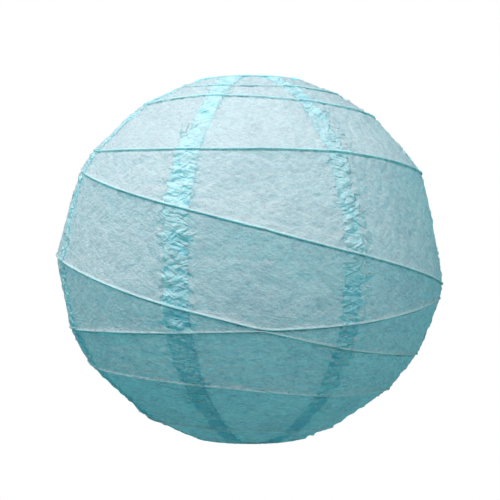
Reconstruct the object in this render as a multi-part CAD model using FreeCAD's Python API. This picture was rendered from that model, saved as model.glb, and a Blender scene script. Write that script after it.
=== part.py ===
import FreeCAD, Part
import math
import os

# A round paper lantern that hangs from the eye of its wire expander.
# Millimetres, +Z up. The origin is where a hook bears inside the hanging eye.
# The expander lies in the XZ plane; azimuths are in degrees from -Y towards +X.

# ---- driving dimensions ----
GLOBE_R = 152.5            # paper radius at the equator
GLOBE_HALF_H = 145.5       # vertical half axis of the ellipse that the paper follows
RING_R = 36.5              # centreline radius of each mouth ring
RING_WIRE_R = 1.0

PAPER_T = 0.3              # thickness of one layer of paper
PAPER_COURSES = 36         # straight courses that make up the paper's curve, mouth to mouth
GORE_COUNT = 7
FIRST_SEAM_AZ = -72.2      # azimuth of the middle of the seam where gore 1 starts
SEAM_W = 20.0              # width of the glued overlap, constant from mouth to mouth
FUSE_LAP = 0.4             # how far an overlapping flap reaches back over its own sheet
# Every other gore is glued on first and its neighbours lap over it. The count is odd,
# so two neighbours of one kind meet at the first seam, where gore 7 laps over gore 1.
LAPS_OVER_NEXT = (True, False, True, False, True, False, True)

HEM_LEG = 6.0              # the rim strip's reach down the outside of the paper
HEM_FIT = 0.05             # glue gap between the rim strip and the ring
HEM_GAP = 0.3              # between the rim strip and the gores
HEM_COURSES = 2

RIB_WIRE_R = 0.6
RIB_GAP = 0.3              # between the rib wire and the ellipse that the paper follows
RIB_STEPS = 24             # corners in one turn of the rib wire
ARC_SHARE = 0.45           # share of the shorter run that each tangent arc takes
CROSSING_TURN = 5          # the turn, counted from 0, that passes inside another
CROSSING_AZ = (4.5, 198.0)
CROSSING_HALF_WIDTH = 28.0
CROSSING_INSET = 1.6

# Height of the rib wire above the globe's centre where it crosses each seam. One row
# is one turn, from the top mouth down, and each row runs on into the next.
RIB_TURNS = (
    (136, 132, 131.5, 130, 128, 126, 124),
    (121, 123, 118.5, 112, 107, 101, 92),
    (84, 80, 78.5, 68, 64, 73, 78),
    (68, 38, 4, -19, -20, -7, 7),
    (0, -34, -64.5, -74, -71, -61, -55),
    (-53.5, -52, -46.5, -30.5, -33, -55, -73),
    (-82.5, -90.5, -100, -101.5, -104, -110, -118),
    (-125, -127.5, -130.5, -132, -133.5, -135, -136.5),
)

EXPANDER_WIRE_R = 1.1
HOLD_GAP = 0.1             # between the expander and the rim strips that it holds apart
EYE_R = 6.0                # centreline radius of the hanging eye
EYE_FILLET = 3.0           # bend from the crown bar up into the eye
EYE_RISE = 3.6             # top of the eye above the ring, both at the centreline
CROWN_DROP = 6.7           # crown bar below the ring, both at the centreline
CROWN_END_X = 26.0         # where the crown bar starts to rise towards the ring
SHOULDER_X = 33.0          # where it levels out, just before it passes under the ring
HAIRPIN_X = 41.5           # outer upright of the hairpin under the paper
HAIRPIN_DROP = 6.6         # from the shoulder down to the return arm
LEG_X = 28.0
FOOT_END_X = 39.4
BEND_R = 3.0
SPRING_GAP = 0.3           # in the hairpin, where the leg flexes

# ---- worked out from those ----
HEM_INNER_R = RING_WIRE_R + HEM_FIT
HEM_OUTER_R = HEM_INNER_R + PAPER_T
RING_Z = GLOBE_HALF_H * math.sqrt(1 - (RING_R / GLOBE_R) ** 2)
SEAM_PITCH = 360.0 / GORE_COUNT
HOLD_OFFSET = HEM_OUTER_R + HOLD_GAP + EXPANDER_WIRE_R
SHOULDER_Z = RING_Z - HOLD_OFFSET
RETURN_Z = SHOULDER_Z - HAIRPIN_DROP
SPRING_Z = SHOULDER_Z - HAIRPIN_DROP / 2
FOOT_Z = HOLD_OFFSET - RING_Z
CROWN_Z = RING_Z - CROWN_DROP
EYE_Z = RING_Z + EYE_RISE - EYE_R
GLOBE_CENTRE_Z = EXPANDER_WIRE_R - EYE_Z - EYE_R

AXIS_POINT = FreeCAD.Vector(0, 0, 0)
UP = FreeCAD.Vector(0, 0, 1)


def save(node, shape):
    """Moves a shape from the globe's centre to the part's frame and writes it."""
    shape = shape.translated(FreeCAD.Vector(0, 0, GLOBE_CENTRE_Z))
    if not shape.isValid() or len(shape.Solids) != 1:
        raise ValueError(node + " is not one valid solid")
    shape.exportStep("parts/" + node + ".step")
    print(node, round(shape.Volume, 1), "mm3")


# ---- wire: straight runs joined by tangent arcs ----
def in_plane(x, z):
    return FreeCAD.Vector(x, 0, z)


def mirrored(points):
    """The same points on the other side of the lantern, in reverse order."""
    return [FreeCAD.Vector(-p.x, p.y, p.z) for p in reversed(points)]


def half_turn(before, corner, after):
    return (math.pi - (before - corner).getAngle(after - corner)) / 2


def rounded_route(points, bend_r=None):
    """Edges along the points, with each inner corner rounded to bend_r.

    Without bend_r, each arc takes its share of the shorter of its two runs.
    """
    edges = []
    start = points[0]
    for before, corner, after in zip(points, points[1:], points[2:]):
        turn = half_turn(before, corner, after)
        shorter = min((before - corner).Length, (after - corner).Length)
        radius = bend_r or ARC_SHARE * shorter / math.tan(turn)
        back = (before - corner).normalize()
        on = (after - corner).normalize()
        inward = (back + on).normalize()
        reach = radius * math.tan(turn)
        arc_start = corner + back * reach
        arc_middle = corner + inward * (radius / math.cos(turn) - radius)
        arc_end = corner + on * reach
        edges.append(Part.LineSegment(start, arc_start).toShape())
        edges.append(Part.Arc(arc_start, arc_middle, arc_end).toShape())
        start = arc_end
    edges.append(Part.LineSegment(start, points[-1]).toShape())
    return edges


def round_wire(edges, start, along, wire_r):
    """A solid round wire along edges, whose first edge starts at start."""
    route = Part.Wire(edges)
    section = Part.Wire(Part.Circle(start, along, wire_r).toShape())
    solid = route.makePipeShell([section], True, False)
    expected = math.pi * wire_r ** 2 * route.Length
    if abs(solid.Volume / expected - 1) > 0.01:
        raise ValueError("a wire's volume is not its section times its length")
    return solid


# ---- paper ----
def ellipse_parameter(radius):
    """The ellipse parameter where the globe has this radius."""
    return math.acos(radius / GLOBE_R)


def meridian(out, low, high, courses):
    """Points along the ellipse that lies a distance out from the globe."""
    points = []
    for step in range(courses + 1):
        at = low + (high - low) * step / courses
        points.append(in_plane((GLOBE_R + out) * math.cos(at), (GLOBE_HALF_H + out) * math.sin(at)))
    return points


def paper_band(inner_out, outer_out, low, high, courses):
    """A full band of revolution between two distances out from the globe.

    It has conical courses, because the paper between two ribs is straight from rib to rib.
    """
    outline = meridian(inner_out, low, high, courses)
    outline += reversed(meridian(outer_out, low, high, courses))
    face = Part.Face(Part.makePolygon(outline + outline[:1]))
    return face.revolve(AXIS_POINT, UP, 360)


def beside_seam(azimuth, low, high, nearest):
    """The space between two planes along a seam's meridian.

    low and high are distances across the seam that grow with azimuth, and nearest
    is where the space starts along the seam's own direction out from the axis.
    """
    reach = GLOBE_R + 20
    corner = FreeCAD.Vector(low, -reach, -reach)
    space = Part.makeBox(high - low, reach - nearest, 2 * reach, corner)
    space.rotate(AXIS_POINT, UP, azimuth)
    return space


def make_gore(index, sheet, lap):
    """One gore: its sheet between two seams, and a flap over each neighbour it laps."""
    start_az = FIRST_SEAM_AZ + index * SEAM_PITCH
    end_az = start_az + SEAM_PITCH
    far = 2 * GLOBE_R
    half = SEAM_W / 2
    over_previous = not LAPS_OVER_NEXT[index - 1]
    over_next = LAPS_OVER_NEXT[index]
    start_edge = half if over_previous else -half
    end_edge = -half if over_next else half
    gore = sheet.common(beside_seam(start_az, start_edge, far, -far))
    gore = gore.common(beside_seam(end_az, -far, end_edge, -far))
    if over_previous:
        gore = gore.fuse(lap.common(beside_seam(start_az, -half, half + FUSE_LAP, 0)))
    if over_next:
        gore = gore.fuse(lap.common(beside_seam(end_az, -half - FUSE_LAP, half, 0)))
    return gore


def make_top_hem():
    """The paper strip glued around the ring and down the outside of the gores."""
    centre = in_plane(0, RING_Z)
    wrap = Part.makeTorus(RING_R, HEM_OUTER_R, centre).cut(
        Part.makeTorus(RING_R, HEM_INNER_R, centre))
    leg_out = PAPER_T + HEM_GAP
    leg_start = ellipse_parameter(RING_R + HEM_LEG)
    leg_end = ellipse_parameter(RING_R + RING_WIRE_R)
    leg = paper_band(leg_out, leg_out + PAPER_T, leg_start, leg_end, HEM_COURSES)
    return wrap.fuse(leg)


def make_ring():
    return Part.makeTorus(RING_R, RING_WIRE_R, in_plane(0, RING_Z))


def upside_down(shape):
    return shape.mirror(AXIS_POINT, UP)


# ---- the rib wire, one continuous irregular coil inside the paper ----
def rib_height(knots, place):
    """A smooth curve through the knots, at a place counted in knots."""
    index = min(int(place), len(knots) - 2)
    share = place - index
    before = knots[max(index - 1, 0)]
    here, there = knots[index], knots[index + 1]
    after = knots[min(index + 2, len(knots) - 1)]
    slope_here = (there - before) / 2
    slope_there = (after - here) / 2
    bend = 2 * (here - there) + slope_here + slope_there
    pull = 3 * (there - here) - 2 * slope_here - slope_there
    return here + share * (slope_here + share * (pull + share * bend))


def crossing_inset(turn, azimuth):
    if turn != CROSSING_TURN:
        return 0.0
    away = min(abs(azimuth - crossing) for crossing in CROSSING_AZ) / CROSSING_HALF_WIDTH
    return CROSSING_INSET * math.cos(math.pi / 2 * min(away, 1.0)) ** 2


def rib_corners():
    """Corners of the rib wire, set out so that its arcs lie on the inside of the paper."""
    knots = [height for row in RIB_TURNS for height in row]
    arc_depth = 2 * ARC_SHARE * (1 - math.cos(math.pi / RIB_STEPS))
    last = int((len(knots) - 1) * RIB_STEPS / GORE_COUNT)
    corners = []
    for step in range(last + 1):
        turn, in_turn = divmod(step, RIB_STEPS)
        azimuth = FIRST_SEAM_AZ + 360.0 * in_turn / RIB_STEPS
        z = rib_height(knots, step * GORE_COUNT / RIB_STEPS)
        inside = PAPER_T + RIB_GAP + RIB_WIRE_R + crossing_inset(turn, azimuth)
        radius = (GLOBE_R - inside) * math.sqrt(1 - (z / (GLOBE_HALF_H - inside)) ** 2)
        radius /= 1 - arc_depth
        angle = math.radians(azimuth)
        corners.append(FreeCAD.Vector(radius * math.sin(angle), -radius * math.cos(angle), z))
    return corners


def make_rib_wire():
    corners = rib_corners()
    return round_wire(rounded_route(corners), corners[0], corners[1] - corners[0], RIB_WIRE_R)


# ---- the expander, one spring wire drawn as a crown and two legs ----
def make_crown():
    fillet_z = CROWN_Z + EYE_FILLET
    fillet_x = math.sqrt((EYE_R + EYE_FILLET) ** 2 - (EYE_Z - fillet_z) ** 2)
    towards_eye = (in_plane(0, EYE_Z) - in_plane(fillet_x, fillet_z)).normalize()
    eye_start = in_plane(fillet_x, fillet_z) + towards_eye * EYE_FILLET
    half_way = (towards_eye + in_plane(0, -1)).normalize()
    fillet_middle = in_plane(fillet_x, fillet_z) + half_way * EYE_FILLET
    bar_start = in_plane(fillet_x, CROWN_Z)
    arm = [
        bar_start,
        in_plane(CROWN_END_X, CROWN_Z),
        in_plane(SHOULDER_X, SHOULDER_Z),
        in_plane(HAIRPIN_X, SHOULDER_Z),
        in_plane(HAIRPIN_X, SPRING_Z + SPRING_GAP / 2),
    ]
    right_bend = [eye_start, fillet_middle, bar_start]
    left_end = mirrored(arm)[0]
    edges = rounded_route(mirrored(arm), BEND_R)
    edges.append(Part.Arc(*mirrored(right_bend)).toShape())
    edges.append(Part.Arc(mirrored([eye_start])[0], in_plane(0, EYE_Z + EYE_R), eye_start).toShape())
    edges.append(Part.Arc(*right_bend).toShape())
    edges += rounded_route(arm, BEND_R)
    return round_wire(edges, left_end, UP, EXPANDER_WIRE_R)


def make_leg(side):
    """One leg: from the flexing hairpin in to the straight leg, and out into a foot."""
    route = [
        in_plane(side * HAIRPIN_X, SPRING_Z - SPRING_GAP / 2),
        in_plane(side * HAIRPIN_X, RETURN_Z),
        in_plane(side * LEG_X, RETURN_Z),
        in_plane(side * LEG_X, FOOT_Z),
        in_plane(side * FOOT_END_X, FOOT_Z),
    ]
    return round_wire(rounded_route(route, BEND_R), route[0], UP, EXPANDER_WIRE_R)


# ---- every piece ----
os.makedirs("parts", exist_ok=True)

paper_end = ellipse_parameter(RING_R + HEM_OUTER_R + HEM_GAP)
gore_sheet = paper_band(-PAPER_T, 0, -paper_end, paper_end, PAPER_COURSES)
gore_lap = paper_band(0, PAPER_T, -paper_end, paper_end, PAPER_COURSES)
for index in range(GORE_COUNT):
    save("paper_gore_" + str(index + 1), make_gore(index, gore_sheet, gore_lap))

top_hem = make_top_hem()
save("top_hem", top_hem)
save("bottom_hem", upside_down(top_hem))
top_ring = make_ring()
save("top_ring", top_ring)
save("bottom_ring", upside_down(top_ring))

save("rib_wire", make_rib_wire())
save("expander_crown", make_crown())
save("expander_leg_left", make_leg(-1))
save("expander_leg_right", make_leg(1))

print("globe centre z", round(GLOBE_CENTRE_Z, 3), "ring z", round(RING_Z, 3),
      "spring z", round(SPRING_Z, 3), "foot z", round(FOOT_Z, 3))
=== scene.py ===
import math
import bpy
import numpy as np
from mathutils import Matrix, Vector


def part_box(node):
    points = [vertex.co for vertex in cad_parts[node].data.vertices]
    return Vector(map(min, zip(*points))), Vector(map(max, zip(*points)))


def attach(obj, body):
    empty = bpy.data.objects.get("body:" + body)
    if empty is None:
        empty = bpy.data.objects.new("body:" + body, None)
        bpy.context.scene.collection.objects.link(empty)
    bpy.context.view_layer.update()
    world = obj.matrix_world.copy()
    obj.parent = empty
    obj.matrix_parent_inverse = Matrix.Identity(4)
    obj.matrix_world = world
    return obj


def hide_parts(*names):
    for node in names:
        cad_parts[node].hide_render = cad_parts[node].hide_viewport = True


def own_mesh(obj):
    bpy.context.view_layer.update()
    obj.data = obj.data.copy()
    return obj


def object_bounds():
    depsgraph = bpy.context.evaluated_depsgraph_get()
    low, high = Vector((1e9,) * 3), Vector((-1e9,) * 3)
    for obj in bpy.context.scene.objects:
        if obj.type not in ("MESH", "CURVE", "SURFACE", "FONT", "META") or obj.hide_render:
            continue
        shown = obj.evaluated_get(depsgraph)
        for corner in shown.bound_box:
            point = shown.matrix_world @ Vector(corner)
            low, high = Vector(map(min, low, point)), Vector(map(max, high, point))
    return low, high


# The looks of a round paper lantern: seven glued gores of crinkled tissue paper over an
# irregular wire coil, with a folded paper hem round the wire ring of each mouth.
# Metres. Azimuths are in degrees: 0 faces the viewer, along -Y, and they grow towards +X.

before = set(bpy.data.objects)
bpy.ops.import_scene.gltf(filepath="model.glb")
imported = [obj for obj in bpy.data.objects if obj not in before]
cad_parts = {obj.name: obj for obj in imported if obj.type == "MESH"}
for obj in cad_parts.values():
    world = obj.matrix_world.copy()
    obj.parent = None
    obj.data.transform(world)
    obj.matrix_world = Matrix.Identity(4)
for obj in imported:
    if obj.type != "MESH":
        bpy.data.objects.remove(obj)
cad_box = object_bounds()

# ---- the lantern's shape, from the frame ----
ring_low, ring_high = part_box("top_ring")
RING_WIRE_R = (ring_high.z - ring_low.z) / 2
RING_R = (ring_high.x - ring_low.x) / 2 - RING_WIRE_R
TOP_RING_Z = (ring_high.z + ring_low.z) / 2
BOTTOM_RING_Z = sum(corner.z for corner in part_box("bottom_ring")) / 2
CENTRE_Z = (TOP_RING_Z + BOTTOM_RING_Z) / 2
GLOBE_R = (cad_box[1].x - cad_box[0].x) / 2
GLOBE_HALF_H = (TOP_RING_Z - CENTRE_Z) / math.sqrt(1 - (RING_R / GLOBE_R) ** 2)

# ---- the paper and its ribs, as the frame has them ----
GORE_COUNT = 7
FIRST_SEAM_AZ = -72.2
SEAM_PITCH = 360 / GORE_COUNT
SEAM_HALF_W = 0.010
LAPS_OVER_NEXT = (True, False, True, False, True, False, True)
PAPER_END_R = RING_R + 0.00165

# Height of the rib wire above the globe's centre where it crosses each seam, in mm.
# One row is one turn, from the top mouth down, and each row runs on into the next.
RIB_TURNS = (
    (136, 132, 131.5, 130, 128, 126, 124),
    (121, 123, 118.5, 112, 107, 101, 92),
    (84, 80, 78.5, 68, 64, 73, 78),
    (68, 38, 4, -19, -20, -7, 7),
    (0, -34, -64.5, -74, -71, -61, -55),
    (-53.5, -52, -46.5, -30.5, -33, -55, -73),
    (-82.5, -90.5, -100, -101.5, -104, -110, -118),
    (-125, -127.5, -130.5, -132, -133.5, -135, -136.5),
)
# Past the wire's ends the paper's mesh follows one more course at each mouth.
ABOVE_FIRST_TURN = (138.8, 138.8, 138.8, 138.7, 138.5, 138, 137)
BELOW_LAST_TURN = (-137.4, -138, -138.4, -138.6, -138.7, -138.8, -138.8, -138.8, -138.8)
RIB_WIRE_R = 0.0006
RIB_INSET = 0.0006                      # the wire's centreline inside the globe's surface
CROSSING_TURN = 5                       # the turn that dips inside where it crosses another
CROSSING_AZ = (4.5, 198.0)
CROSSING_HALF_WIDTH = 28.0              # degrees
CROSSING_INSET = 0.0013

# ---- how the paper lies ----
RIDGE_H = 0.0011                        # the paper's ridge over the rib wire
RIDGE_TOP_W = 0.0008                    # how far it slopes on its upper side
RIDGE_UNDER_W = 0.0005                  # and on its lower side, where the paper tucks under
TUCK_H = 0.0005                         # the hollow close under each ridge
TUCK_AT = 0.0012
TUCK_HALF_W = 0.0007
RIB_HIGHLIGHT_BELOW_W = 0.00035                 # painted highlight: how far a pale line along a rib's crest reaches below it
RIB_HIGHLIGHT_ABOVE_W = 0.0005                  # and above it
RIB_SHADE_SHARE = 0.5                     # painted shade: how dark a line close under a rib is painted, in doubled paper's colours
RIB_SHADE_AT = 0.0010
RIB_SHADE_HALF_W = 0.00045
SAG = 0.008                             # sag between ribs in mid gore, share of the span
SEAM_BULGE = 0.3                        # share of the globe's own bulge kept at a seam
RIB_MERGE = 0.0016                      # crossing ribs merge into one ridge nearer than this
LAP_LIFT = 0.00045                      # a lap's surface above the sheet beneath it
JOGGLE = 0.0012                         # width of the step up onto a lap
HIDDEN_EDGE_WANDER = 0.4                # of the seam's half width, at the edge underneath
HIDDEN_EDGE_WAVE = 0.011                # height over which it wanders
HIDDEN_EDGE_SHORT = (0.8, 0.0, 0.6, 0.8, 0.1, 0.4, 0.2)     # how far it falls short, by seam
HIDDEN_EDGE_TAPER = 0.75                # and how much nearer that edge comes at the mouths
RIM_LIFT = 0.0009                       # how much flatter the paper runs under a hem
OVERLAP_PAINTED_LIGHT_AT_TOP = 0.75                     # painted light: how much paler an overlap is painted where it faces up into the light
HIDDEN_LAYER_CLEAR = 0.7                # how little the glued layer underneath tints the light
HEM_GAP = 0.0003                        # between the hem's fold and the ring's wire
HEM_FOLD_TURN = (-150, 75)              # degrees round the wire, from inside to the outer leg
HEM_REACH = (0.0017, 0.0063)            # the outer leg, out from the ring's centreline
HEM_RISE = 0.00062                      # where that leg starts, above the ring's centre
HEM_SLOPE = 0.09                        # and its fall, as a share of its reach
HEM_RAGGED = 0.03                       # how uneven its edge is, as a share of its reach
HEM_PLEAT_H = 0.00025
HEM_LAYERS = 0.3                        # how doubled the hem looks
FAR = 0.1                               # where there is no rib to be near

# ---- the mesh's fineness ----
NEAR_RIB = (0.0, 0.00025, 0.0005, 0.0008, 0.0012, 0.0017, 0.0025, 0.0036)   # rows beside a rib
ROW_STEP = 0.0013                       # and between those
SHEET_COLUMNS = 78                      # between a gore's two seams
SEAM_COLUMNS = 25                       # across each seam
HEM_COLUMNS = 220
WIRE_SIDES = 8
WIRE_STEPS = 140                        # for each turn of the wire

# Folds in the glued seams, where the stiffer double paper buckles between two ribs.
# Slant in degrees, distance from fold to fold, and height.
SEAM_FOLDS = (
    (15, 0.0100, 0.0014),
    (-26, 0.0150, 0.0012),
    (4, 0.0046, 0.0005),
    (48, 0.0110, 0.0007),
)
SEAM_FOLD_BEND = 1.1                    # how far a fold wanders, in folds
CREASE_MEAN = 0.374                     # taken off the creases, so that they leave no bulge

# Crumples anywhere in the paper: height, and distance from one to the next.
SWELL_H, SWELL_SIZE = 0.0009, 0.038
CRUMPLE_H, CRUMPLE_SIZE = 0.00065, 0.017
SMALL_CRUMPLE_H, SMALL_CRUMPLE_SIZE = 0.00035, 0.0075
FINE_CRUMPLE_H, FINE_CRUMPLE_SIZE = 0.00018, 0.0035
SEAM_CRUMPLE_H, SEAM_CRUMPLE_SIZE = 0.0003, 0.0028
PUCKER_H, PUCKER_SIZE, PUCKER_LENGTH = 0.0005, 0.009, 0.03      # beside the ribs
PUCKER_REACH = 0.009                    # from the rib
RAGGED_W, RAGGED_SIZE = 0.003, 0.009    # how uneven the border of a seam's folds is


# ---- noise on arrays of points ----

class Noise:
    """Smooth gradient noise in three dimensions, about -1 to 1, the same on each run."""

    def __init__(self, seed):
        random = np.random.default_rng(seed)
        self.order = random.permutation(256)
        self.slopes = random.normal(size=(256, 3))
        self.slopes /= np.linalg.norm(self.slopes, axis=1)[:, None]

    def at(self, points):
        cell = np.floor(points).astype(int)
        inside = points - cell
        ease = inside ** 3 * (inside * (inside * 6 - 15) + 10)
        total = np.zeros(points.shape[:-1])
        for corner in np.ndindex(2, 2, 2):
            x, y, z = np.moveaxis((cell + np.array(corner)) & 255, -1, 0)
            slope = self.slopes[self.order[(self.order[(self.order[x] + y) & 255] + z) & 255]]
            weight = np.prod(np.where(corner, ease, 1 - ease), axis=-1)
            total += weight * np.sum(slope * (inside - np.array(corner)), axis=-1)
        return total * 1.6

    def creases(self, points):
        """Soft swells with sharp folds 1 deep between them, and a mean of 0."""
        return CREASE_MEAN - np.clip(1 - 2.4 * np.abs(self.at(points)), 0, 1) ** 1.5


swell_noise = Noise(11)
crumple_noise = Noise(23)
fine_noise = Noise(37)
fold_noise = Noise(41)
pucker_noise = Noise(59)
edge_noise = Noise(71)


def smooth_step(low, high, value):
    share = np.clip((value - low) / (high - low), 0, 1)
    return share * share * (3 - 2 * share)


# ---- the course of the ribs ----
KNOTS = np.concatenate([ABOVE_FIRST_TURN, np.ravel(RIB_TURNS), BELOW_LAST_TURN]) / 1000
LAST_KNOT = GORE_COUNT * len(RIB_TURNS) - 1


def rib_height(place):
    """Height above the globe's centre, at a place counted in seams from the wire's start."""
    place = np.clip(np.asarray(place, float) + GORE_COUNT, 0, len(KNOTS) - 1.001)
    index = place.astype(int)
    share = place - index
    before = KNOTS[np.maximum(index - 1, 0)]
    here, there = KNOTS[index], KNOTS[index + 1]
    after = KNOTS[np.minimum(index + 2, len(KNOTS) - 1)]
    slope_here = (there - before) / 2
    slope_there = (after - here) / 2
    bend = 2 * (here - there) + slope_here + slope_there
    pull = 3 * (there - here) - 2 * slope_here - slope_there
    return here + share * (slope_here + share * (pull + share * bend))


def globe_radius(height):
    return GLOBE_R * np.sqrt(np.maximum(1 - (height / GLOBE_HALF_H) ** 2, 1e-6))


def seams_round(azimuth):
    """Azimuth counted in seams from the first one."""
    return (azimuth - FIRST_SEAM_AZ) / SEAM_PITCH


def rib_courses(azimuth):
    """Heights of the mouths' edges and every rib at these azimuths, from the top down,
    and how much of a ridge each makes, on a new last axis."""
    turns = np.arange(-1, len(RIB_TURNS) + 1)
    place = seams_round(azimuth)[..., None] + GORE_COUNT * turns
    heights = rib_height(place)
    ridges = smooth_step(-0.05, 0.12, place) * (1 - smooth_step(LAST_KNOT - 0.12, LAST_KNOT, place))
    order = np.argsort(-heights, axis=-1)
    heights = np.take_along_axis(heights, order, -1)
    ridges = np.take_along_axis(ridges, order, -1)
    edge = GLOBE_HALF_H * math.sqrt(1 - (PAPER_END_R / GLOBE_R) ** 2)
    rims = np.full(heights.shape[:-1] + (1,), edge)
    heights = np.concatenate([rims, heights, -rims], axis=-1)
    ridges = np.concatenate([rims * 0, ridges, rims * 0], axis=-1)
    gaps = np.sqrt(np.diff(heights, axis=-1) ** 2 + RIB_MERGE ** 2)
    gaps *= 2 * edge / gaps.sum(axis=-1, keepdims=True)
    heights = edge - np.concatenate([rims * 0, np.cumsum(gaps, axis=-1)], axis=-1)
    return heights, ridges


def row_plan():
    """For each row of the mesh: its span between two courses, whether it is counted from
    the span's top or bottom, its distance from there, and its share of what is left."""
    heights, _ = rib_courses(np.linspace(FIRST_SEAM_AZ, FIRST_SEAM_AZ + 360, 90))
    radii = globe_radius(heights)
    spans = np.hypot(np.diff(heights, axis=-1), np.diff(radii, axis=-1)).mean(axis=0)
    near = np.array(NEAR_RIB)
    rows = []
    for span, length in enumerate(spans):
        middle = max(2, round((length - 2 * near[-1]) / ROW_STEP))
        rows += [(span, near_row, 0.0) for near_row in near]
        rows += [(span, near[-1], step / (middle + 1)) for step in range(1, middle + 1)]
        rows += [(span, near_row, 1.0) for near_row in near[:0:-1]]
    rows.append((len(spans) - 1, 0.0, 1.0))
    return np.array(rows)


ROWS = row_plan()


def above_ridge(distance):
    """The paper's rise towards the rib below it."""
    return RIDGE_H * np.exp(-(distance / RIDGE_TOP_W) ** 2)


def under_ridge(distance):
    """The paper's fall from the rib above it, and the hollow under that."""
    ridge = RIDGE_H * np.exp(-(distance / RIDGE_UNDER_W) ** 2)
    return ridge - TUCK_H * np.exp(-((distance - TUCK_AT) / TUCK_HALF_W) ** 2)


def meridian_points(azimuth):
    """The paper's shape, without its crumples, on a grid with one row for each of ROWS.

    Gives radius, height, the outward direction (radial, upward), the height of the ridge
    there, the distance to the nearest rib along the paper, and a painted shade close under
    each rib, or with a minus a painted highlight along its crest.
    """
    heights, ridges = rib_courses(azimuth)
    span = np.broadcast_to(ROWS[:, 0].astype(int)[:, None, None], azimuth.shape + (1,))
    top_z = np.take_along_axis(heights, span, -1)[..., 0]
    low_z = np.take_along_axis(heights, span + 1, -1)[..., 0]
    top_ridge = np.take_along_axis(ridges, span, -1)[..., 0]
    low_ridge = np.take_along_axis(ridges, span + 1, -1)[..., 0]
    top_r, low_r = globe_radius(top_z), globe_radius(low_z)
    length = np.hypot(top_z - low_z, top_r - low_r)
    near = ROWS[:, 1][:, None] * np.minimum(1, 0.36 * length / NEAR_RIB[-1])
    along = near + ROWS[:, 2][:, None] * (length - 2 * near)
    share = along / length
    out_r, out_z = (top_z - low_z) / length, (low_r - top_r) / length
    mid_gore = np.sin(math.pi * (seams_round(azimuth) % 1)) ** 2
    bulge = SEAM_BULGE * length ** 2 / (8 * GLOBE_R)
    depth = (bulge * (1 - mid_gore) - SAG * length * mid_gore) * 4 * share * (1 - share)
    radius = top_r + (low_r - top_r) * share + out_r * depth
    height = top_z + (low_z - top_z) * share + out_z * depth
    ridge = top_ridge * under_ridge(along) + low_ridge * above_ridge(length - along)
    from_rib = np.minimum(along + FAR * (1 - top_ridge), length - along + FAR * (1 - low_ridge))
    # Painted highlight: a pale line along the crest of each rib.
    highlight_and_clear_layer = top_ridge * np.exp(-(along / RIB_HIGHLIGHT_BELOW_W) ** 2)
    highlight_and_clear_layer += low_ridge * np.exp(-((length - along) / RIB_HIGHLIGHT_ABOVE_W) ** 2)
    # Painted shade: a dark line close under each rib, given as doubled paper.
    rib_shade_and_highlight = RIB_SHADE_SHARE * top_ridge * np.exp(-((along - RIB_SHADE_AT) / RIB_SHADE_HALF_W) ** 2)
    return radius, height, out_r, out_z, ridge, from_rib, rib_shade_and_highlight - np.minimum(highlight_and_clear_layer, 1)


# ---- crumples in the paper ----
def seam_folds(across, down, seed):
    """Flat facets that meet in sharp creases, and which of them are folded double."""
    out = np.zeros(across.shape)
    tucked = np.zeros(across.shape)
    for number, (slant, pitch, height) in enumerate(SEAM_FOLDS):
        level = 0 * down + seed + 4.7 * number
        turn = math.radians(slant)
        along = down * math.cos(turn) + across * math.sin(turn)
        bend = fold_noise.at(np.stack([across / 0.030, down / 0.019, level], -1))
        fading = pucker_noise.at(np.stack([across / 0.024, down / 0.014, level], -1))
        phase = along / pitch + SEAM_FOLD_BEND * bend
        strength = np.clip(0.55 + 1.3 * fading, 0, 1)
        out += height * strength * (np.abs(2 * (phase % 1) - 1) - 0.5)
        facet = np.floor(2 * phase) + 7.0 * number + seed
        picked = (np.sin(12.9898 * facet) * 43758.5453) % 1
        tucked = np.maximum(tucked, smooth_step(0.66, 0.80, picked) * strength * (pitch > 0.008))
    return out, tucked


def relief(azimuth, radius, height, from_rib):
    """How far the crumpled paper stands out from its smooth shape, how near each point is
    to being in a seam, and how much the paper is folded over itself there, from 0 to 1."""
    turn = np.radians(azimuth)
    place = np.stack([radius * np.sin(turn), -radius * np.cos(turn), height], axis=-1)
    seam = np.round(seams_round(azimuth))
    across = radius * np.sin(np.radians(azimuth - FIRST_SEAM_AZ - seam * SEAM_PITCH))
    seed = 7.3 * (seam % GORE_COUNT)
    ragged = RAGGED_W * edge_noise.at(place / RAGGED_SIZE)
    in_seam = 1 - smooth_step(SEAM_HALF_W - 0.002, SEAM_HALF_W + 0.007, np.abs(across) + ragged)

    swell = SWELL_H * swell_noise.at(place / SWELL_SIZE)
    crumple = CRUMPLE_H * crumple_noise.creases(place / CRUMPLE_SIZE)
    crumple += SMALL_CRUMPLE_H * crumple_noise.creases(place / SMALL_CRUMPLE_SIZE + 5)
    crumple += FINE_CRUMPLE_H * fine_noise.at(place / FINE_CRUMPLE_SIZE)
    folds, tucked = seam_folds(across, length_up(radius, height), seed)
    folds += SEAM_CRUMPLE_H * fine_noise.at(place / SEAM_CRUMPLE_SIZE + 3)

    round_rib = GLOBE_R * turn
    puckers = pucker_noise.creases(
        np.stack([round_rib / PUCKER_SIZE, height / PUCKER_LENGTH, 0 * height], -1))
    puckers = PUCKER_H * puckers * np.exp(-(from_rib / PUCKER_REACH) ** 2)

    free = 0.12 + 0.88 * smooth_step(0.0007, 0.0045, from_rib)
    at_rim = smooth_step(PAPER_END_R, PAPER_END_R + 0.006, radius)
    out = (swell + crumple * (1 - 0.4 * in_seam) + folds * in_seam + puckers) * free * at_rim
    out += RIM_LIFT * smooth_step(PAPER_END_R, RING_R + 0.0045, radius) * (
        1 - smooth_step(RING_R + 0.0065, RING_R + 0.0120, radius))
    return out, in_seam, tucked * in_seam * free


def length_up(radius, height):
    """Distance along the paper from the equator, up being positive."""
    return GLOBE_R * np.arctan2(height / GLOBE_HALF_H, radius / GLOBE_R)


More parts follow.
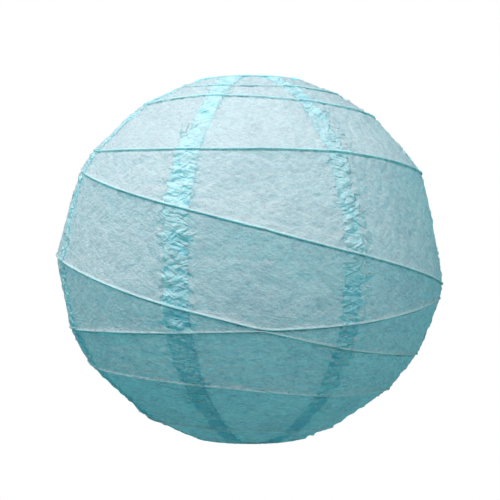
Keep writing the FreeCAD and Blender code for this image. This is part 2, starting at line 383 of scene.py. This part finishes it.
# ---- meshes from grids ----
def grid_faces(rows, columns, closed=False):
    """Quads over a grid whose points are numbered row by row."""
    number = np.arange(rows * columns).reshape(rows, columns)
    if closed:
        number = np.concatenate([number, number[:, :1]], axis=1)
    quads = [number[:-1, :-1], number[1:, :-1], number[1:, 1:], number[:-1, 1:]]
    return np.stack(quads, axis=-1).reshape(-1, 4).tolist()


def make_mesh(name, points, faces, material, sheet_place=None, layers_and_painted_light=None):
    """A smooth mesh. Paper also keeps what its material reads at each point: its place on
    the flat sheet, and how many sheets of paper lie on the first one, with the painted shade
    under ribs and, as minus values, the painted highlight over them."""
    points = np.ascontiguousarray(points.reshape(-1, 3), np.float32)
    mesh = bpy.data.meshes.new(name)
    mesh.from_pydata(points.tolist(), [], faces)
    mesh.shade_smooth()
    if sheet_place is not None:
        flat = mesh.attributes.new("sheet_place", "FLOAT_VECTOR", "POINT")
        flat.data.foreach_set("vector", np.ravel(sheet_place).astype(np.float32))
        extra = mesh.attributes.new("extra_layers_and_painted_light", "FLOAT", "POINT")
        extra.data.foreach_set("value", np.ravel(layers_and_painted_light).astype(np.float32))
    mesh.materials.append(material)
    piece = bpy.data.objects.new(name, mesh)
    bpy.context.collection.objects.link(piece)
    return piece


def place_round(radius, height, azimuth):
    """Points in the frame from radius, height above the globe's centre, and azimuth."""
    turn = np.radians(azimuth)
    return np.stack([radius * np.sin(turn), -radius * np.cos(turn), height + CENTRE_Z], axis=-1)


# ---- gores ----
def gore_columns():
    """For each column: share of the way from start seam to end seam, and the distance
    across each of the two seams that it keeps."""
    across = np.linspace(-SEAM_HALF_W, SEAM_HALF_W, SEAM_COLUMNS)
    share = np.linspace(0, 1, SHEET_COLUMNS + 2)[1:-1]
    ones = np.ones(SEAM_COLUMNS)
    share = np.concatenate([0 * ones, share, ones])
    start = np.concatenate([across, np.full(SHEET_COLUMNS, SEAM_HALF_W), 0 * ones])
    end = np.concatenate([0 * ones, np.full(SHEET_COLUMNS, -SEAM_HALF_W), across])
    return share, start, end


def hidden_edge(seam, height):
    """How far the glued edge underneath reaches, as a share of the seam's half width."""
    wander = edge_noise.at(
        np.stack([height / HIDDEN_EDGE_WAVE, 0 * height + 1.6 * seam, 0 * height], -1))
    taper = HIDDEN_EDGE_TAPER * smooth_step(0.35, 0.85, np.abs(height) / GLOBE_HALF_H)
    return 1 + HIDDEN_EDGE_WANDER * wander - np.maximum(taper, HIDDEN_EDGE_SHORT[seam])


def make_gore(index, material):
    """One gore, from the far edge of its start seam to the far edge of its end seam."""
    start_az = FIRST_SEAM_AZ + index * SEAM_PITCH
    share, across_start, across_end = gore_columns()
    radius = np.full((len(ROWS), len(share)), GLOBE_R)
    height = np.linspace(1, -1, len(ROWS))[:, None] * GLOBE_HALF_H + 0 * share
    for _ in range(5):
        start_edge = hidden_edge(index, height)
        end_edge = hidden_edge((index + 1) % GORE_COUNT, height)
        under_start = (across_start < 0) * LAPS_OVER_NEXT[index - 1]
        under_end = (across_end > 0) * (not LAPS_OVER_NEXT[index])
        from_start = across_start * np.where(under_start, start_edge, 1)
        from_start = np.degrees(np.arcsin(from_start / radius))
        to_end = across_end * np.where(under_end, end_edge, 1)
        to_end = SEAM_PITCH + np.degrees(np.arcsin(to_end / radius))
        azimuth = start_az + (1 - share) * from_start + share * to_end
        radius, height, out_r, out_z, ridge, from_rib, rib_shade_and_highlight = meridian_points(azimuth)
    in_start = share == 0
    in_end = share == 1
    lift = np.zeros(len(share))
    if not LAPS_OVER_NEXT[index - 1]:
        lift += in_start * (1 - smooth_step(SEAM_HALF_W - JOGGLE, SEAM_HALF_W, across_start))
    if LAPS_OVER_NEXT[index]:
        lift += in_end * smooth_step(-SEAM_HALF_W, JOGGLE - SEAM_HALF_W, across_end)
    crumpled, in_seam, tucked = relief(azimuth, radius, height, from_rib)
    out = ridge + crumpled + LAP_LIFT * lift
    points = place_round(radius + out_r * out, height + out_z * out, azimuth)
    name = "gore_paper_" + str(index + 1)
    middle_az = start_az + SEAM_PITCH / 2
    sheet_place = np.stack([radius * np.radians(azimuth - middle_az), length_up(radius, height),
                            0 * radius + 1.7 * index], axis=-1)
    on_top = in_start * (not LAPS_OVER_NEXT[index - 1]) + in_end * LAPS_OVER_NEXT[index]
    beside = (share > 0) & (share < 1)
    overlap = np.where(in_start, start_edge * SEAM_HALF_W - across_start,
                       end_edge * SEAM_HALF_W + across_end)
    # Painted light: overlaps are painted paler towards the top, where the light falls on them.
    covered = on_top * smooth_step(-0.0007, 0.0007, overlap) * (
        1 - OVERLAP_PAINTED_LIGHT_AT_TOP * smooth_step(-0.35, 0.25, height / GLOBE_HALF_H))
    layers_and_painted_light = covered + tucked * (0.5 + 0.5 * covered)
    inward = np.where(in_start, SEAM_HALF_W - across_start, SEAM_HALF_W + across_end)
    underneath = (1 - on_top) * (1 - beside) * smooth_step(0.0003, 0.0020, inward)
    # Under a rib its painted shade is added to the layer count; over it the painted highlight goes
    # in as minus values, uneven along the rib.
    shine = 0.65 + 0.6 * edge_noise.at(sheet_place / 0.016)
    painted_rib_highlight = layers_and_painted_light * (1 + rib_shade_and_highlight) + rib_shade_and_highlight * np.clip(shine, 0.1, 1)
    layers_and_painted_light = np.where(rib_shade_and_highlight < 0, painted_rib_highlight, layers_and_painted_light + rib_shade_and_highlight * (1 + on_top))
    layers_and_painted_light = np.where(underneath > 0, -HIDDEN_LAYER_CLEAR * underneath, layers_and_painted_light)
    gore = make_mesh(name, points, grid_faces(*radius.shape), material, sheet_place, layers_and_painted_light)
    return gore


# ---- hems ----
def make_hem(name, up, material):
    """The paper edge folded round a mouth ring and glued down; up is 1 or -1."""
    azimuth = np.linspace(0, 360, HEM_COLUMNS, endpoint=False)
    edge = edge_noise.at(np.stack([azimuth / 9, 0 * azimuth, 0 * azimuth + up], -1))
    wrap_r = RING_WIRE_R + HEM_GAP
    turns = np.radians(np.linspace(*HEM_FOLD_TURN, 16))[:, None]
    wrap_radius = RING_R + wrap_r * np.sin(turns) + 0 * azimuth
    wrap_height = wrap_r * np.cos(turns) + 0 * azimuth
    ring_height = GLOBE_HALF_H * math.sqrt(1 - (RING_R / GLOBE_R) ** 2)
    reach = np.linspace(*HEM_REACH, 8)[:, None] * (1 + HEM_RAGGED * edge)
    leg_radius = RING_R + reach
    leg_height = ring_height + HEM_RISE - HEM_SLOPE * (reach - HEM_REACH[0])
    radius = np.concatenate([wrap_radius, leg_radius])
    height = np.concatenate([wrap_height + ring_height, leg_height])
    pleat = pucker_noise.creases(
        np.stack([azimuth / 2.4 + 0 * radius, radius / 0.004, 0 * radius + up], -1))
    height = height + HEM_PLEAT_H * pleat
    points = place_round(radius, up * height, azimuth + 0 * radius)
    faces = grid_faces(*radius.shape, closed=True)
    if up < 0:
        faces = [face[::-1] for face in faces]
    sheet_place = np.stack([RING_R * np.radians(azimuth) + 0 * radius, radius - RING_R,
                            0 * radius + 20 + up], axis=-1)
    hem = make_mesh(name, points, faces, material, sheet_place, HEM_LAYERS + 0 * radius)
    return hem


# ---- the rib wire ----
def make_rib_wire(material):
    """The coil of wire just under the paper's ridges."""
    place = np.linspace(0, LAST_KNOT, WIRE_STEPS * len(RIB_TURNS))
    azimuth = FIRST_SEAM_AZ + place * SEAM_PITCH
    height = rib_height(place)
    turn_az = (azimuth - FIRST_SEAM_AZ) % 360 + FIRST_SEAM_AZ
    away = np.min([np.abs(turn_az - crossing) for crossing in CROSSING_AZ], axis=0)
    away = np.minimum(away / CROSSING_HALF_WIDTH, 1)
    crosses = np.floor(place / GORE_COUNT) == CROSSING_TURN
    inset = RIB_INSET + crosses * CROSSING_INSET * np.cos(math.pi / 2 * away) ** 2
    steep = height / GLOBE_HALF_H ** 2
    flat = globe_radius(height) / GLOBE_R ** 2
    slope = np.hypot(steep, flat)
    centre = place_round(
        globe_radius(height) - inset * flat / slope, height - inset * steep / slope, azimuth)
    along = np.gradient(centre, axis=0)
    along /= np.linalg.norm(along, axis=1)[:, None]
    side = np.cross(along, (0, 0, 1))
    side /= np.linalg.norm(side, axis=1)[:, None]
    up = np.cross(side, along)
    angle = np.linspace(0, 2 * math.pi, WIRE_SIDES, endpoint=False)
    points = centre[:, None] + RIB_WIRE_R * (
        np.cos(angle)[:, None] * side[:, None] + np.sin(angle)[:, None] * up[:, None])
    faces = grid_faces(len(place), WIRE_SIDES, closed=True)
    last = (len(place) - 1) * WIRE_SIDES
    faces += [list(range(WIRE_SIDES)), list(range(last + WIRE_SIDES - 1, last - 1, -1))]
    return make_mesh("rib_wire_coil", points, faces, material)


# ---- materials ----
class Shader:
    """A material that is built one node at a time."""

    def __init__(self, name):
        self.material = bpy.data.materials.new(name)
        self.material.use_nodes = True
        self.tree = self.material.node_tree
        self.tree.nodes.clear()

    def add(self, kind, output, inputs=(), **settings):
        """Adds a node, and gives back one of its outputs to link on."""
        node = self.tree.nodes.new("ShaderNode" + kind)
        for name, value in settings.items():
            setattr(node, name, value)
        for name, value in dict(inputs).items():
            if isinstance(value, bpy.types.NodeSocket):
                self.tree.links.new(value, node.inputs[name])
            else:
                node.inputs[name].default_value = value
        return node.outputs[output]

    def noise(self, place, scale, detail, roughness=0.5, distortion=0.0):
        return self.add("TexNoise", "Fac", {
            "Vector": place, "Scale": scale, "Detail": detail, "Roughness": roughness,
            "Distortion": distortion})

    def valley(self, place, scale):
        """Soft swells with sharp valleys down to 0 between them."""
        swell = self.math("SUBTRACT", self.noise(place, scale, 2, 0.5, 0.6), 0.5)
        return self.math("ABSOLUTE", swell, 0.0)

    def math(self, operation, first, second):
        return self.add("Math", 0, {0: first, 1: second}, operation=operation)

    def mix(self, share, first, second):
        """A blend of two colours, each a tuple or a socket."""
        first, second = ((*colour, 1) if isinstance(colour, tuple) else colour
                         for colour in (first, second))
        return self.add("MixRGB", 0, {"Fac": share, "Color1": first, "Color2": second})

    def weighted(self, *terms):
        """A sum of values, each times its weight."""
        total = 0.0
        for value, weight in terms:
            total = self.add("Math", 0, {0: value, 1: weight, 2: total}, operation="MULTIPLY_ADD")
        return total

    def stretched(self, place, slant, length, width):
        """Places whose unit is length along the slant, in degrees, and width across it."""
        return self.add("Mapping", 0, {
            "Vector": place, "Rotation": (0, 0, math.radians(slant)), "Scale": (length, width, 1)},
            vector_type="TEXTURE")

    def bump(self, height, distance, normal=None):
        inputs = {"Height": height, "Distance": distance, "Strength": 1.0}
        if normal is not None:
            inputs["Normal"] = normal
        return self.add("Bump", "Normal", inputs)

    def finish(self, surface):
        """Links the surface to the output, and gives back the material."""
        node = self.tree.nodes.new("ShaderNodeOutputMaterial")
        self.tree.links.new(surface, node.inputs["Surface"])
        return self.material


# Colours of one layer, of two where gores overlap, and where a fold adds more to those, which also
# serve as painted shade in creases and under ribs.
PAPER_LIT = ((0.73, 0.72, 0.76), (0.90, 0.86, 0.89))        # darker and lighter mottling
PAPER_LIT_HIGHLIGHT_AND_CLEAR = (0.84, 0.99, 1.0)                        # painted highlight over a rib or crease, and the glued layer underneath
PAPER_LIT_DOUBLE = (0.80, 0.76, 0.80)
PAPER_LIT_FOLDED_AND_SHADED = (0.48, 0.68, 0.75)
PAPER_THROUGH = ((0.06, 0.63, 0.73), (0.36, 0.97, 1.0))
PAPER_THROUGH_HIGHLIGHT_AND_CLEAR = (0.50, 1.0, 1.0)
PAPER_THROUGH_DOUBLE = (0.04, 0.97, 1.0)
PAPER_THROUGH_FOLDED_AND_SHADED = (0.02, 0.80, 0.92)
PAPER_THROUGH_SHARE = 0.62
LOOSER_FROM = -0.035                    # up the paper from the equator, wrinkles begin
LOOSER_BY = -0.075                      # and have their full depth


def paper_material():
    """Thin crinkled tissue: pale where light falls on it, and deeper where it shines through."""
    shader = Shader("aqua_tissue_paper")
    place = shader.add("Attribute", "Vector", attribute_name="sheet_place")
    layers_and_painted_light = shader.add("Attribute", "Fac", attribute_name="extra_layers_and_painted_light")
    # The attribute holds real overlaps and folds, the painted shade under ribs, and, as minus
    # values, the painted highlights and the clearer glued layer underneath.
    double = shader.add("Clamp", 0, {"Value": layers_and_painted_light})
    in_overlap = shader.add("MapRange", 0, {"Value": layers_and_painted_light, 1: 0.0, 2: 0.3})
    # Painted shade: dark lines along the valleys of the creases in the overlaps.
    seam_crease = shader.valley(shader.stretched(place, 26, 0.022, 0.0095), 1)
    crease_shade = shader.add("MapRange", 0, {"Value": seam_crease, 1: 0.045, 2: 0.005})
    fine_crease = shader.valley(shader.stretched(place, -23, 0.018, 0.0062), 1)
    fine_crease_shade = shader.add("MapRange", 0, {"Value": fine_crease, 1: 0.035, 2: 0.005})
    # Painted highlight: pale lines along another set of creases in the overlaps.
    highlight_crease = shader.valley(shader.stretched(place, 7, 0.018, 0.0060), 1)
    crease_highlight = shader.add("MapRange", 0, {"Value": highlight_crease, 1: 0.04, 2: 0.0})
    # Towards the folded colours: real extra folds, and painted shade in creases and under ribs.
    folded = shader.add("Clamp", 0, {"Value": shader.weighted(
        (shader.math("SUBTRACT", layers_and_painted_light, 1.0), 1.0),
        (shader.math("MULTIPLY", crease_shade, double), 0.9),
        (shader.math("MULTIPLY", fine_crease_shade, double), 0.8))})
    # Towards the pale colours: painted highlights over ribs and creases, and the clearer glued
    # layer underneath.
    highlight_and_clear_layer = shader.add("Clamp", 0, {"Value": shader.weighted(
        (layers_and_painted_light, -1.4), (shader.math("MULTIPLY", crease_highlight, double), 1.6))})
    clouds = shader.noise(place, 32, 3)
    mottle = shader.noise(place, 400, 3, 0.65)
    fibres = shader.noise(shader.stretched(place, -14, 0.0026, 0.0010), 1, 2, 0.6, 0.8)
    streaks = shader.noise(shader.stretched(place, -27, 0.0060, 0.0016), 1, 3, 0.6, 0.8)
    cross_streaks = shader.noise(shader.stretched(place, 24, 0.0080, 0.0022), 1, 3, 0.6, 0.8)
    crinkle = shader.math("MULTIPLY", shader.valley(place, 90), shader.add("MapRange", 0, {
        "Value": shader.noise(place, 14, 2), 1: 0.35, 2: 0.65, 3: 0.25, 4: 1.0}))
    net = shader.valley(place, 150)
    down = shader.add("SeparateXYZ", 1, {"Vector": place})
    below = shader.add("MapRange", 0, {"Value": down, 1: LOOSER_FROM, 2: LOOSER_BY})
    wrinkle = shader.valley(shader.stretched(place, -9, 0.0200, 0.0046), 1)
    wrinkle_line = shader.add("MapRange", 0, {"Value": wrinkle, 1: 0.05, 2: 0.0})
    wrinkle_line = shader.math("MULTIPLY", wrinkle_line, below)
    tone = shader.weighted(
        (clouds, 0.45), (mottle, 0.3), (streaks, 0.8), (cross_streaks, 0.6), (fibres, 0.4),
        (net, -0.9), (wrinkle_line, 0.12))
    tone = shader.add("MapRange", 0, {"Value": tone, 1: 0.96, 2: 1.44})
    colours = []
    # drawn is the pale colour of the painted highlights and of the glued layer underneath.
    for single, doubled, folded_and_shaded, drawn in (
            (PAPER_LIT, PAPER_LIT_DOUBLE, PAPER_LIT_FOLDED_AND_SHADED, PAPER_LIT_HIGHLIGHT_AND_CLEAR),
            (PAPER_THROUGH, PAPER_THROUGH_DOUBLE, PAPER_THROUGH_FOLDED_AND_SHADED, PAPER_THROUGH_HIGHLIGHT_AND_CLEAR)):
        colour = shader.mix(double, shader.mix(tone, *single), doubled)
        colour = shader.mix(folded, colour, folded_and_shaded)
        colours.append(shader.mix(highlight_and_clear_layer, colour, drawn))
    normal = shader.bump(crinkle, 0.0011)
    normal = shader.bump(net, 0.0012, normal)
    normal = shader.bump(shader.math("MULTIPLY", seam_crease, in_overlap), 0.0075, normal)
    normal = shader.bump(shader.math("MULTIPLY", fine_crease, in_overlap), 0.0042, normal)
    normal = shader.bump(shader.math("MULTIPLY", wrinkle, below), 0.0045, normal)
    normal = shader.bump(streaks, 0.00045, normal)
    normal = shader.bump(cross_streaks, 0.0004, normal)
    normal = shader.bump(mottle, 0.0004, normal)
    normal = shader.bump(fibres, 0.0002, normal)
    front = shader.add("BsdfPrincipled", 0, {
        "Base Color": colours[0], "Roughness": 0.7, "Specular IOR Level": 0.25, "Normal": normal})
    behind = shader.add("BsdfTranslucent", 0, {"Color": colours[1], "Normal": normal})
    return shader.finish(shader.add("MixShader", 0, {0: PAPER_THROUGH_SHARE, 1: front, 2: behind}))


def wire_material(name, colour, roughness, spangle):
    """Drawn steel: fine lines from drawing, and a mottled zinc coat of some roughness."""
    shader = Shader(name)
    place = shader.add("TexCoord", "Object")
    zinc = shader.noise(place, spangle, 3)
    drawn = shader.noise(place, 3000, 2)
    darker = tuple(0.72 * part for part in colour)
    colour = shader.mix(zinc, darker, colour)
    rough = shader.add("MapRange", 0, {"Value": zinc, 3: roughness - 0.08, 4: roughness + 0.12})
    surface = shader.add("BsdfPrincipled", 0, {
        "Base Color": colour, "Metallic": 1.0, "Roughness": rough,
        "Normal": shader.bump(drawn, 0.00004)})
    return shader.finish(surface)


# ---- the pieces, and how they move ----
paper = paper_material()
ring_steel = wire_material("galvanised_ring_wire", (0.58, 0.60, 0.61), 0.42, 900)
expander_steel = wire_material("galvanised_spring_wire", (0.60, 0.62, 0.63), 0.36, 700)
rib_steel = wire_material("bright_rib_wire", (0.66, 0.68, 0.69), 0.28, 1200)

for node in ("top_ring", "bottom_ring"):
    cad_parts[node].material_slots[0].material = ring_steel
for node in ("expander_crown", "expander_leg_left", "expander_leg_right"):
    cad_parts[node].material_slots[0].material = expander_steel

folding = [(make_gore(index, paper), "paper_gore_" + str(index + 1), "paper")
           for index in range(GORE_COUNT)]
folding.append((make_rib_wire(rib_steel), "rib_wire", "rib_wire"))
for piece, node, slot in folding:
    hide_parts(node)
    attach(piece, "shade")
    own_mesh(piece)
for up, end, body in ((1, "top", "shade"), (-1, "bottom", "bottom_rim")):
    hem = make_hem(end + "_hem_paper", up, paper)
    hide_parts(end + "_hem")
    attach(hem, body)


# ---- camera, light and surroundings ----
CAMERA_DISTANCE = 8 * GLOBE_R
CAMERA_LENS = 110.3
CAMERA_SHIFT = 0.019                    # the lantern sits a little low in the picture
camera = bpy.data.objects.new("camera", bpy.data.cameras.new("camera"))
camera.location = (0, -CAMERA_DISTANCE, CENTRE_Z)
camera.rotation_euler = (math.pi / 2, 0, 0)
camera.data.lens = CAMERA_LENS
camera.data.shift_y = CAMERA_SHIFT
bpy.context.collection.objects.link(camera)
bpy.context.scene.camera = camera
bpy.context.scene.view_settings.view_transform = "Standard"


def add_light(name, place, size, power):
    """A square soft light that faces the lantern's middle."""
    light = bpy.data.objects.new(name, bpy.data.lights.new(name, "AREA"))
    light.location = place
    facing = Vector((0, 0, CENTRE_Z)) - Vector(place)
    light.rotation_euler = facing.to_track_quat("-Z", "Y").to_euler()
    light.data.size = size
    light.data.energy = power
    bpy.context.collection.objects.link(light)


add_light("key", (-0.3, -0.75, 1.2), 1.5, 49)
add_light("left_fill", (-1.5, 0.1, 0.9), 1.0, 15)
add_light("right_fill", (1.5, -0.8, 0.5), 1.2, 10)
add_light("front_fill", (-0.3, -2.0, 0.1), 1.2, 6)

world = bpy.data.worlds.new("studio")
bpy.context.scene.world = world
world.use_nodes = True
world.node_tree.nodes.clear()
seen, lighting, path, either, out = (
    world.node_tree.nodes.new("ShaderNode" + kind)
    for kind in ("Background", "Background", "LightPath", "MixShader", "OutputWorld"))
seen.inputs["Color"].default_value = (1, 1, 1, 1)
lighting.inputs["Color"].default_value = (1, 1, 1, 1)
lighting.inputs["Strength"].default_value = 0.03
for start, end in ((path.outputs["Is Camera Ray"], either.inputs[0]),
                   (lighting.outputs[0], either.inputs[1]),
                   (seen.outputs[0], either.inputs[2]),
                   (either.outputs[0], out.inputs["Surface"])):
    world.node_tree.links.new(start, end)


FLOOR_R = 2.2
FLOOR_Z = -2.2


def make_floor():
    """A plain pale floor, well below where the lantern hangs."""
    turn = np.linspace(0, 2 * math.pi, 96, endpoint=False)
    points = [(FLOOR_R * math.cos(at), FLOOR_R * math.sin(at), FLOOR_Z) for at in turn]
    mesh = bpy.data.meshes.new("floor")
    mesh.from_pydata(points, [], [list(range(len(points)))])
    shader = Shader("floor_paint")
    grain = shader.noise(shader.add("TexCoord", "Object"), 40, 3)
    colour = shader.mix(grain, (0.72, 0.73, 0.73), (0.78, 0.78, 0.78))
    mesh.materials.append(shader.finish(shader.add("BsdfPrincipled", 0, {
        "Base Color": colour, "Roughness": 0.8})))
    floor = bpy.data.objects.new("floor", mesh)
    bpy.context.collection.objects.link(floor)


make_floor()

bpy.context.view_layer.update()
